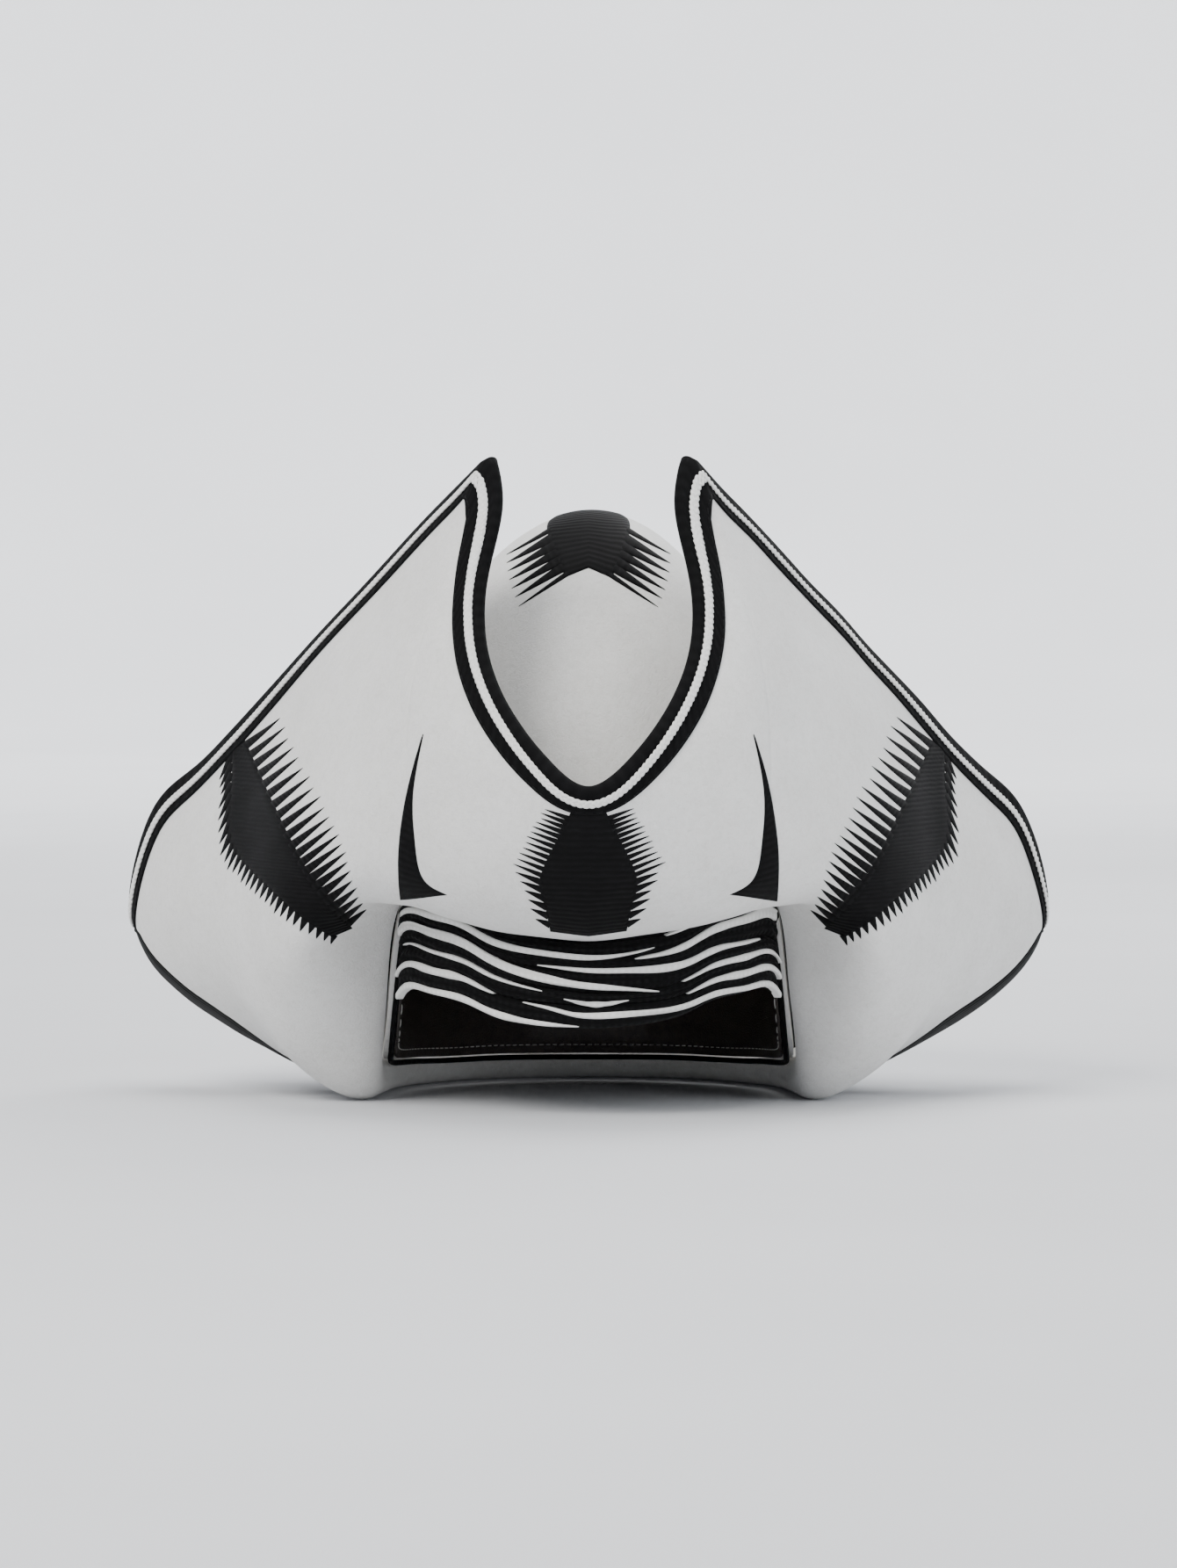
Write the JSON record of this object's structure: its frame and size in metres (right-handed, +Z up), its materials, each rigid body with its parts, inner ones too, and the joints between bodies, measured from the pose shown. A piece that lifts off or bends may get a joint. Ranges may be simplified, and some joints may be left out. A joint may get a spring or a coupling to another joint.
{
  "type": "pirate hat",
  "caption": "Adult cocked hat: domed crown, brim folded into two tall front peaks, two side flaps and a back flap, bound edge, dark appliques and a sewn-in headscarf front.",
  "frame": {"origin": "on the head opening's vertical axis, at the level of the lowest fold of the brim, where the hat stands", "axes": "+X to the wearer's left, -Y to the front of the hat, +Z up; X = 0 is the plane of symmetry"},
  "size_m": [0.3982, 0.3356, 0.2715],
  "materials": {
    "white_felt": "wool felt, close short nap",
    "inner_felt": "wool felt, close short nap",
    "buckram": "open woven, starched",
    "lining_cloth": "smooth satin weave",
    "sweatband_hide": "smooth, soft sheen",
    "black_ribbon": "grosgrain rib",
    "white_braid": "plaited cord",
    "spring_wire": "drawn",
    "pad_foam": "knit over foam",
    "black_applique": "velvet felt",
    "scarf_cloth": "plain cotton weave",
    "scarf_hem_cloth": "cotton piping"
  },
  "bodies": {
    "root": {"crown_felt_front": "white_felt", "crown_felt_back": "white_felt", "crown_buckram": "buckram", "lining_tip": "lining_cloth", "lining_side": "lining_cloth", "sweatband": "sweatband_hide", "sweatband_welt": "black_ribbon", "sweatband_bow": "black_ribbon", "forehead_pad": "pad_foam", "hat_band": "black_ribbon", "under_felt_front": "white_felt", "under_felt_left": "white_felt", "under_felt_back": "white_felt", "under_felt_right": "white_felt", "brim_buckram": "buckram", "upper_felt": "inner_felt", "brim_wire": "spring_wire", "edge_binding": "black_ribbon", "white_braid": "white_braid", "wing_applique_left": "black_applique", "wing_applique_right": "black_applique", "spout_applique": "black_applique", "crown_applique": "black_applique", "crease_applique_left": "black_applique", "crease_applique_right": "black_applique", "fold_applique_left": "black_applique", "fold_applique_right": "black_applique", "scarf_backing": "scarf_cloth", "scarf_turn_1": "scarf_cloth", "scarf_turn_2": "scarf_cloth", "scarf_turn_3": "scarf_cloth", "scarf_turn_4": "scarf_cloth", "scarf_turn_5": "scarf_cloth", "scarf_hem_1": "scarf_hem_cloth", "scarf_hem_2": "scarf_hem_cloth", "scarf_hem_3": "scarf_hem_cloth", "scarf_hem_4": "scarf_hem_cloth"}
  },
  "joints": []
}
